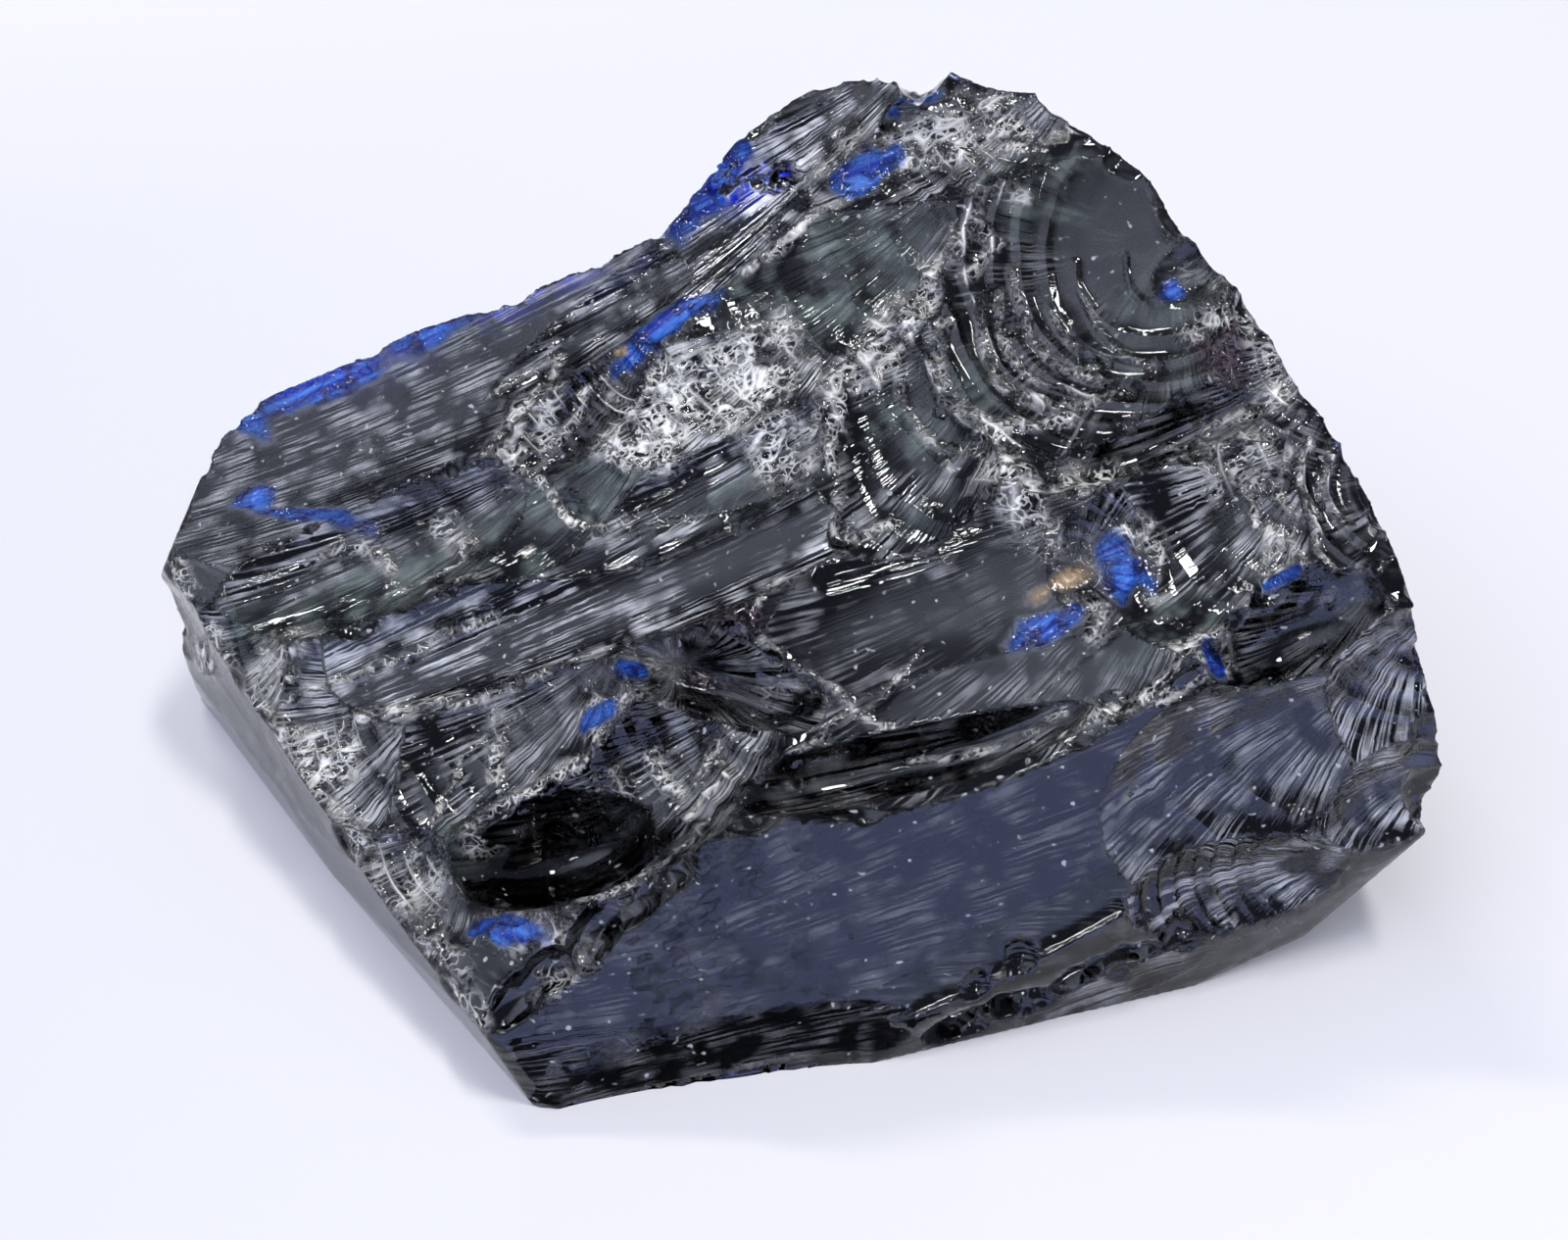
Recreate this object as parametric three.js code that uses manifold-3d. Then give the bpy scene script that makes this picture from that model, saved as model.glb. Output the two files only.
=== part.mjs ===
// A rough block of dark blue-black gem material, broken on every side by shell-like (conchoidal) fractures.
// It is one natural piece, so it is one solid: a block with the hollows cut out of it where flakes came away.
// It stands on a flat break. Its broad top falls towards the front left, and its front is one steep, smooth break.
// Millimetres, +Z up, origin under the middle of the block, on the surface that it rests on.
import * as THREE from "three";
import { ConvexGeometry } from "three/addons/geometries/ConvexGeometry.js";
import { mergeVertices } from "three/addons/utils/BufferGeometryUtils.js";
import Module from "manifold-3d";

const FACET = 5; // edge of a facet on a curved break
const ICOSAHEDRON_EDGE = 1.107; // length on a sphere of radius 1
const RIM_SHARE = 0.8; // how far out on its ellipsoid a scar's rim lies
const COLOUR = "#14151c";
const MIDDLE = [-2.781, 9.528]; // middle of the finished block, on the axes that it is drawn on

// Corners of the block before the flakes came away. Two convex lumps make it: the low left shoulder, and the
// body with the high back. They share the foot, the front and the right end, and meet in a nick in the back rim.
const FOOT = [
  [-33.8, -53.8, 0], [-26.4, -55, 0], [-13.3, -54, 0], [0, -50.2, 0], [11, -46.8, 0], [58.5, -34.5, 0],
  [75, -28, 3], [83, -24, 12], [84, -6, 0], [76, 30, 0], [44, 62, 0], [-5, 68, 0], [-55, 48, 0],
];
const LEFT_FOOT = [[-86, 35, 0], [-95.5, 21, 0], [-68, -14.5, 0]];
const FRONT_BREAK = [[25, -43.5, 6], [39, -39.6, 12.5], [58, -34.4, 15]];
const FRONT_RIDGE = [[-40, -50, 13], [-12.5, -38.4, 35], [10, -32.5, 41.7], [66.6, -18.6, 54.4]];
const RIGHT_RIM = [
  [88.5, -24.5, 22], [90.6, -22, 30], [89, -23.5, 36], [81, -18, 58], [76, 2, 66.6], [69.5, 14.5, 71.5],
  [62.5, 28, 76.5], [50, 49.5, 84],
];
const BACK_RIM = [[37.5, 62.5, 88], [27.5, 66, 88], [14.6, 70.5, 87.4], [4.4, 70.6, 85.6], [-4.4, 65, 81]];
const NICK = [-18.5, 51.5, 69.4];
const LEFT_RIM = [
  [-46.9, 45, 60.6], [-59, 44.7, 58], [-79.3, 38.2, 50.2], [-85, 33.5, 46.5], [-87, 25, 42], [-95, 18, 29],
  [-93, 12.4, 33.5],
];
const BACK_BELLY = [[66, 44, 44], [24, 80, 46], [-22, 60, 40]];
const TOP_CROWN = [[0, 20, 61.5], [-40, 5, 45], [40, 20, 71], [30, -14, 52]];
const LUMPS = [
  [...FOOT, ...LEFT_FOOT, ...FRONT_BREAK, ...FRONT_RIDGE, ...LEFT_RIM, ...TOP_CROWN, NICK],
  [...FOOT, ...FRONT_BREAK, ...FRONT_RIDGE, ...RIGHT_RIM, ...BACK_RIM, ...BACK_BELLY, ...TOP_CROWN, NICK],
];

// The block's sides. Each gives a plane that scars are laid out on, by two of a point's three coordinates.
const TOP = { normal: [-0.2235, -0.5, 1], right: [1, 0, 0.2235], at: (x, y) => [x, y, 49.6 + 0.2235 * x + 0.5 * y] };
const FRONT = {
  normal: [0.164, -0.986, 0.338], right: [1, 0.166, 0],
  at: (x, z) => [x, (0.164 * x + 0.338 * z - 48.1) / 0.986, z],
};
const LEFT = { normal: [-0.8, -0.6, 0.05], right: [0.6, -0.8, 0], at: (y, z) => [(-65.4 - 0.6 * y) / 0.8, y, z] };
const RIGHT = { normal: [0.9, 0.35, 0.25], right: [-0.35, 0.9, 0], at: (y, z) => [92 - 0.39 * y - 0.2 * z, y, z] };
const BACK = { normal: [-0.05, 1, 0.1], right: [-1, 0, 0], at: (x, z) => [x, 80 - 0.1 * z, z] };
const BACK_LEFT = { normal: [-0.3, 0.95, 0.02], right: [-0.95, -0.3, 0], at: (x, z) => [x, 60 + 0.3 * x, z] };

// The scars: place on the side, length, width and depth of the hollow, turn of its length about the side's
// normal from "right", and tip of its floor, which sinks the far end of its length and lifts the near one.
const SCARS = [
  // the right bowl and the ledges around it
  { side: TOP, at: [40, 32], size: [56, 48, 8], turn: 70, tip: -5 },
  { side: TOP, at: [51, 10], size: [46, 10, 7.5], turn: 14, tip: 4 },
  { side: TOP, at: [54, 32], size: [18, 15, 7], turn: 0, tip: 0 },
  { side: TOP, at: [66, 14], size: [26, 20, 5], turn: 40, tip: 0 },
  { side: TOP, at: [22, 55], size: [70, 20, 5], turn: 6, tip: 3 },
  { side: TOP, at: [30, 62], size: [30, 15, 4], turn: 10, tip: 0 },
  { side: TOP, at: [7, 66], size: [36, 20, 4], turn: 28, tip: 0 },
  // the striped slab that runs up the back left, and the broad pale hollow beside it
  { side: TOP, at: [-8, 51], size: [80, 19, 5], turn: 40, tip: 3 },
  { side: TOP, at: [-24, 42], size: [62, 15, 5.5], turn: 24, tip: -4 },
  { side: TOP, at: [6, 37], size: [50, 32, 4.5], turn: 24, tip: 4 },
  { side: TOP, at: [17, 18], size: [50, 30, 6.5], turn: 76, tip: -4 },
  { side: TOP, at: [-10, 26], size: [56, 20, 4], turn: 26, tip: 3 },
  // the left shoulder: long flat hollows that all run up to the right
  { side: TOP, at: [-62, 33], size: [100, 36, 4.5], turn: 22, tip: 2 },
  { side: TOP, at: [-30, 27], size: [34, 15, 5.5], turn: 40, tip: -6 },
  { side: TOP, at: [-60, 11], size: [62, 20, 6], turn: 14, tip: 5 },
  { side: TOP, at: [-33, 14], size: [36, 24, 5], turn: 8, tip: -5 },
  { side: TOP, at: [-8, 13], size: [64, 18, 5], turn: 18, tip: -4 },
  { side: TOP, at: [-40, -3], size: [120, 19, 5], turn: 12, tip: 2 },
  { side: TOP, at: [-80, -3], size: [30, 20, 4], turn: -50, tip: 0 },
  // the lower left slope and its caves
  { side: TOP, at: [-64, -14], size: [38, 24, 4.5], turn: -48, tip: 0 },
  { side: TOP, at: [-42, -17], size: [46, 24, 6], turn: 24, tip: 4 },
  { side: TOP, at: [-17, -24], size: [50, 22, 7], turn: 26, tip: -4 },
  { side: TOP, at: [-8, -13], size: [34, 13, 10], turn: -26, tip: 6 },
  { side: TOP, at: [-31, -30], size: [32, 17, 15], turn: 12, tip: 0 },
  { side: TOP, at: [-50, -33], size: [26, 18, 5], turn: -36, tip: 0 },
  // the dark plain behind the front ridge
  { side: TOP, at: [27, -8], size: [66, 34, 5.5], turn: 8, tip: -3 },
  { side: TOP, at: [18, -25], size: [54, 12, 10], turn: 7, tip: 0 },
  { side: TOP, at: [41, -5], size: [27, 19, 6], turn: 20, tip: 0 },
  { side: TOP, at: [58, -3], size: [42, 28, 6], turn: 34, tip: -4 },
  { side: TOP, at: [66, -17.5], size: [28, 15, 10], turn: 20, tip: 0 },
  { side: TOP, at: [73, 0], size: [34, 22, 5], turn: 84, tip: 4 },
  // the smooth front break and the chipped corner to its right
  { side: FRONT, at: [11, 31], size: [124, 40, 1.5], turn: 20, tip: 0 },
  { side: FRONT, at: [58, 37], size: [44, 30, 4], turn: 24, tip: 3 },
  { side: FRONT, at: [64, 19], size: [34, 18, 4], turn: -10, tip: 0 },
  { side: FRONT, at: [80, 46], size: [26, 22, 5], turn: 70, tip: 0 },
  { side: FRONT, at: [84, 30], size: [22, 20, 4], turn: 30, tip: 0 },
  { side: FRONT, at: [52, 2], size: [60, 18, 3], turn: 13, tip: 0 },
  // the steep left break
  { side: LEFT, at: [-14, 12], size: [120, 60, 1.5], turn: 0, tip: 0 },
  { side: LEFT, at: [14, 22], size: [34, 22, 2.5], turn: 30, tip: 0 },
  // the right end
  { side: RIGHT, at: [18, 36], size: [66, 50, 8], turn: 36, tip: 0 },
  { side: RIGHT, at: [6, 12], size: [60, 34, 5], turn: -10, tip: 0 },
  { side: RIGHT, at: [44, 52], size: [46, 36, 6], turn: 60, tip: 0 },
  { side: RIGHT, at: [50, 16], size: [70, 40, 7], turn: 20, tip: 0 },
  { side: RIGHT, at: [-6, 36], size: [40, 26, 5], turn: 70, tip: 0 },
  // the back, which undercuts the rim to thin edges
  { side: BACK_LEFT, at: [-59.5, 36], size: [46, 26, 4.5], turn: -25, tip: 0 },
  { side: BACK_LEFT, at: [-66, 16], size: [58, 30, 6], turn: -14, tip: 0 },
  { side: BACK_LEFT, at: [-84, 12], size: [40, 30, 5], turn: 30, tip: 0 },
  { side: BACK_LEFT, at: [-37, 40], size: [24, 40, 3], turn: 0, tip: 0 },
  { side: BACK_LEFT, at: [-27, 46], size: [24, 40, 4], turn: 0, tip: 0 },
  { side: BACK_LEFT, at: [-3, 61], size: [26, 20, 3], turn: -35, tip: 0 },
  { side: BACK, at: [-4, 54], size: [50, 40, 10], turn: 40, tip: 0 },
  { side: BACK, at: [36, 40], size: [70, 60, 9], turn: 70, tip: 0 },
  { side: BACK, at: [-10, 20], size: [90, 40, 11], turn: -10, tip: 0 },
  { side: BACK, at: [44, 14], size: [60, 40, 12], turn: 14, tip: 0 },
  { side: BACK, at: [12, 58], size: [26, 40, 5], turn: -20, tip: 0 },
  { side: BACK, at: [21, 93], size: [11, 22, 16], turn: 0, tip: 0 },
];

// Edges that are chipped all along: their ends, the way their chips face, and the chips' count and size.
const CHIPPED_EDGES = [
  { from: [-38, -49, 14], to: [-12, -36, 33], facing: [-0.1, -0.7, 0.7], count: 5, size: 9 },
  { from: [-8, -34, 36], to: [62, -20, 51], facing: [0, -0.6, 0.8], count: 9, size: 6.5 },
  { from: [-90, 9, 34], to: [-42, -49, 14], facing: [-0.8, -0.6, 0.6], count: 9, size: 8 },
  { from: [80, -17, 58], to: [62, 28, 76], facing: [0.75, 0.1, 0.65], count: 7, size: 8 },
  { from: [62, 28, 76], to: [37, 62, 87], facing: [0.7, 0.4, 0.6], count: 6, size: 7 },
  { from: [-20, 51, 69], to: [4, 68, 84], facing: [-0.5, 0.6, 0.6], count: 4, size: 5.5 },
  { from: [20, -43, 3], to: [60, -33, 14], facing: [0.1, -0.9, 0.1], count: 5, size: 8 },
  { from: [88, -22, 24], to: [82, -20, 56], facing: [0.8, -0.5, 0.2], count: 5, size: 9 },
];
const CHIP_DEPTH = 0.34; // of a chip's size
const GOLDEN = 0.618034; // spreads the chips' sizes and turns with no repeat

function direction([x, y, z]) {
  return new THREE.Vector3(x, y, z).normalize();
}

// The ellipsoid that leaves one scar, whose rim lies round "centre" and whose floor faces along "normal".
function flake(centre, normal, right, [long, wide, deep], turn, tip) {
  const thickness = deep / (1 - Math.sqrt(1 - RIM_SHARE ** 2));
  const radii = new THREE.Vector3(long / 2 / RIM_SHARE, wide / 2 / RIM_SHARE, thickness);
  const detail = Math.max(1, Math.round((ICOSAHEDRON_EDGE * (radii.x + radii.y)) / 2 / FACET) - 1);
  const across = new THREE.Vector3().crossVectors(normal, right);
  const placed = new THREE.Matrix4()
    .makeBasis(right, across, normal)
    .setPosition(centre.clone().addScaledVector(normal, thickness - deep))
    .multiply(new THREE.Matrix4().makeRotationZ(THREE.MathUtils.degToRad(turn)))
    .multiply(new THREE.Matrix4().makeRotationY(THREE.MathUtils.degToRad(tip)))
    .scale(radii);
  return new THREE.IcosahedronGeometry(1, detail).applyMatrix4(placed);
}

function scarFlake({ side, at, size, turn, tip }) {
  return flake(new THREE.Vector3(...side.at(...at)), direction(side.normal), direction(side.right), size, turn, tip);
}

function chipFlakes({ from, to, facing, count, size }) {
  const start = new THREE.Vector3(...from);
  const end = new THREE.Vector3(...to);
  const normal = direction(facing);
  const along = end.clone().sub(start).projectOnPlane(normal).normalize();
  return Array.from({ length: count }, (_, i) => {
    const spread = ((i + 1) * GOLDEN) % 1;
    const centre = start.clone().lerp(end, (i + 0.3 + 0.4 * spread) / count);
    const long = size * (0.8 + 0.9 * spread);
    return flake(centre, normal, along, [long, 0.7 * size, CHIP_DEPTH * size], 50 * spread - 25, 0);
  });
}

const wasm = await Module();
wasm.setup();

function toSolid(geometry) {
  const bare = geometry.clone();
  bare.deleteAttribute("normal");
  bare.deleteAttribute("uv");
  const merged = mergeVertices(bare, 1e-4);
  const vertProperties = new Float32Array(merged.attributes.position.array);
  const triVerts = new Uint32Array(merged.index.array);
  return new wasm.Manifold(new wasm.Mesh({ numProp: 3, vertProperties, triVerts }));
}

function toGeometry(solid) {
  const { vertProperties, triVerts } = solid.getMesh();
  const geometry = new THREE.BufferGeometry();
  geometry.setAttribute("position", new THREE.BufferAttribute(vertProperties, 3));
  geometry.setIndex(new THREE.BufferAttribute(triVerts, 1));
  return geometry;
}

function lump(corners) {
  return toSolid(new ConvexGeometry(corners.map((corner) => new THREE.Vector3(...corner))));
}

let block = LUMPS.map(lump).reduce((whole, next) => whole.add(next));
const flakes = [...SCARS.map(scarFlake), ...CHIPPED_EDGES.flatMap(chipFlakes)];
for (const piece of flakes) block = block.subtract(toSolid(piece));

const stone = new THREE.Mesh(
  toGeometry(block),
  new THREE.MeshStandardMaterial({ color: COLOUR, roughness: 0.12, metalness: 0 }),
);
stone.name = "stone";
stone.position.set(-MIDDLE[0], -MIDDLE[1], 0);

const group = new THREE.Group();
group.add(stone);
export default group;
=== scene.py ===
# The finish of a rough block of blue-black gem material: its broken surfaces, glass, table and light.
import math
from dataclasses import dataclass
from functools import partial

import bpy
import numpy as np
from mathutils import Euler, Matrix, Vector


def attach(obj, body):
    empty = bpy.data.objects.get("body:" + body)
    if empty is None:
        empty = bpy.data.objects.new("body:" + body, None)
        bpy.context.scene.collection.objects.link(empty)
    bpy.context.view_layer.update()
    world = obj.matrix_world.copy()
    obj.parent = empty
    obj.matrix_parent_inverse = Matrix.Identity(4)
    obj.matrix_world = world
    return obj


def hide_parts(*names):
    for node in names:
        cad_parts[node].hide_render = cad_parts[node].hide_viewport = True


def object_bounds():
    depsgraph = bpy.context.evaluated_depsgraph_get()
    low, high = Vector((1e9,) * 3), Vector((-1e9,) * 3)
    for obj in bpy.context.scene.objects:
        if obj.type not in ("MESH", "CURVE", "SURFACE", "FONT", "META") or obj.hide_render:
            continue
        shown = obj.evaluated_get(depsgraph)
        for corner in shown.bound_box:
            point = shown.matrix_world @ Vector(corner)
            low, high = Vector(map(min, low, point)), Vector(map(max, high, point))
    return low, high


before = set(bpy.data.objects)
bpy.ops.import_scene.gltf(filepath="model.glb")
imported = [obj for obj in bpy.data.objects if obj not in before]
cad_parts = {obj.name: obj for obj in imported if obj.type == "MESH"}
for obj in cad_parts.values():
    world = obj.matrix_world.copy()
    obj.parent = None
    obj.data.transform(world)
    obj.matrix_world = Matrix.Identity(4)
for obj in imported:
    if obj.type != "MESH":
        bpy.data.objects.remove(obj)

bl_info = {
    "name": "Rough gem block",
    "version": (1, 0, 0),
    "blender": (4, 5, 0),
    "location": "View3D > Sidebar > Gem block",
    "description": "Breaks a block of dark gem rough into shell-like scars and sets it on a pale table",
    "category": "Object",
}

cad_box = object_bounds()

MM = 0.001
NODE = "stone"
MIDDLE = np.array([-2.781, 9.528, 0.0])  # middle of the block, on the axes that it is drawn on
SEED = 11
WELD = 0.01 * MM  # corners of the CAD solid that lie closer than this are one
CREASE = math.radians(50)  # an edge sharper than this stays sharp in the shading
EVENNESS = 2e-6  # how far thinning the mesh keeps its triangles even, beside keeping its shape
BOX_GAP = 0.001 * MM  # how far inside the CAD solid's box the surface stays

RIM_SHARE = 0.8  # how far out on its ellipsoid a scar's rim lies
MARKED_SHARE = RIM_SHARE - 0.02  # how far out a scar marks the surface all over
GRAZE = 0.15  # further out, it marks the surface only where it bites deeper than this
BARE_RING, BARE_RIB, BARE_LIVE = (9.0, 0.03), (4.0, 0.02), 0.1  # the markings where there is no scar

# A normal's z or y tells the top from the steep sides: what the limits are for a place to carry something.
UPWARD = 0.1  # seams and patches lie where z is above this
STEEP = 0.42  # crumbs and colours of a patch lie where z is above this
FRONT_FACING = -0.8  # a y below this is the front break, where seams leave no crumbs
BROAD = 12  # rounds of smoothing that leave only a place's broad slope
SEAM_FLOOR, PATCH_FLOOR = 8, 4  # heights above the table, in millimetres, below which there are none

SEAM_WHOLE = 0.75  # how much of a seam is left on the whole, where noise breaks it up
SEAM_STRAY = (0.1, 0.5)  # how far a seam strays from its line, and how much further the more it is crushed
CREST_SLOPE = 0.4  # how much of a seam's crest is a straight slope; the rest of it is hollow
CRUMBLING = 0.4  # a seam crushed more than this has an uneven crest
CRUMB_REACH = 1.35  # how far out a seam's crumbs start, by half its width
PATCH_REACH = 1.15  # how far out a patch starts, by half its size
PATCH_EDGE = 1.6  # how quickly it grows to its full strength from there

CHIP_FLOOR = 1.5  # height above the table, in millimetres, below which no chip starts
CHIP_SHARP, CHIP_SHARPEST = 0.12, 0.5  # how far out a ridge is to be chipped, and how much more still counts
CHIP_LEAN = 0.3  # how far a chip's facing strays from the ridge's
CHIP_SIZE = (0.9, 3.2, 2.5)  # the least half length, what chance may add, and the power that keeps most small
CHIP_SHAPE = (1, 0.75, 0.6)  # its ellipsoid's half length, width and thickness, by the half length
CHIP_RISE = 0.62  # how far its ellipsoid's middle stands out of the ridge, by the half thickness
CHIP_MARKS = ((1.1, 0.05), (2, 0.0), 0.4)  # ring, rib and live, as for a scar

RING_SHOWS, RING_RANGE = 0.55, (0.05, 1.3)  # how much of the ripples shows on the whole, least and most
RING_SHAPE = (1.4, 2.4, 0.8)  # the crests' height, how far it falls to the troughs, and how narrow crests are
RIB_LENGTH = 30  # how far a rib runs before it changes, in millimetres
RIB_GAIN = 1.5  # brings the noise that shapes the ribs to their height
FINE_RIB_STRETCH = (1, 2.3, 1)  # finer ribs run between them, this many to one
STILLING = 0.6  # how much of a hollow's unevenness a calm patch takes away
FLOW_STRETCH = 0.4  # how far that unevenness is drawn out along the ribs: its width by its length
CRUMBLE = 0.4  # height of crushed glass's crests, in millimetres
FOOT, FOOT_FADE = 0.2, 2.0  # height, in millimetres, where all this starts, and in how many more it is full

# Smooth noises: the size of the lumps in millimetres (for the ribs, in spacings), the seed and the strength.
NOISES = {
    "ring_bend": (13, 1, 0.35),
    "ring_quiver": (5, 2, 0.1),
    "ring_fade": (16, 3, 0.9),
    "rib": (1.0, 4, 1.0),
    "fine_rib": (1.0, 5, 0.3),
    "swell": (7, 6, 0.26),
    "fine_swell": (3, 7, 0.05),
    "crumble": (2.4, 8, 2.2),
    "grit": (1.5, 9, 0.08),
    "crumble_wander_x": (5, 10, 1.4),
    "crumble_wander_y": (5, 11, 1.4),
    "crumble_wander_z": (5, 12, 1.4),
    "seam_wander_x": (3.5, 21, 1.0),
    "seam_wander_y": (3.5, 22, 1.0),
    "seam_break": (2.6, 23, 0.5),
    "patch_edge": (6, 31, 0.45),
    "fine_patch_edge": (2.5, 32, 0.3),
}
SEED_STEP = np.array([7.13, 3.71, 5.39])  # how far apart two seeds' noises lie, in lumps
SCATTER, STIR = (73856093, 19349663, 83492791), 1274126177  # large primes that scramble a lattice point


# The block's sides: the way each one faces, the way that counts as right on it, and the plane that scars are
# laid out on, by two of a point's three coordinates. All in millimetres, on the drawing's axes.
def on_top(x, y):
    return (x, y, 49.6 + 0.2235 * x + 0.5 * y)


def on_front(x, z):
    return (x, (0.164 * x + 0.338 * z - 48.1) / 0.986, z)


def on_left(y, z):
    return ((-65.4 - 0.6 * y) / 0.8, y, z)


def on_right(y, z):
    return (92 - 0.39 * y - 0.2 * z, y, z)


def on_back(x, z):
    return (x, 80 - 0.1 * z, z)


def on_back_left(x, z):
    return (x, 60 + 0.3 * x, z)


SIDES = {
    "top": (on_top, (-0.2235, -0.5, 1), (1, 0, 0.2235)),
    "front": (on_front, (0.164, -0.986, 0.338), (1, 0.166, 0)),
    "left": (on_left, (-0.8, -0.6, 0.05), (0.6, -0.8, 0)),
    "right": (on_right, (0.9, 0.35, 0.25), (-0.35, 0.9, 0)),
    "back": (on_back, (-0.05, 1, 0.1), (-1, 0, 0)),
    "back_left": (on_back_left, (-0.3, 0.95, 0.02), (-0.95, -0.3, 0)),
}


@dataclass
class Scar:
    """A hollow that one flake left: where it lies on a side, its length, width and depth, and its markings.

    strike is the point that the flake was struck off from: ripples ring it and fine ribs fan out of it.
    ring and rib are each a spacing and a height; live is how uneven the hollow is between them, from 0 to 1.
    """

    at: tuple
    size: tuple
    turn: float = 0.0
    tip: float = 0.0
    strike: tuple = (0.0, 0.0)
    ring: tuple = (5.0, 0.1)
    rib: tuple = (3.0, 0.05)
    live: float = 1.0


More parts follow.
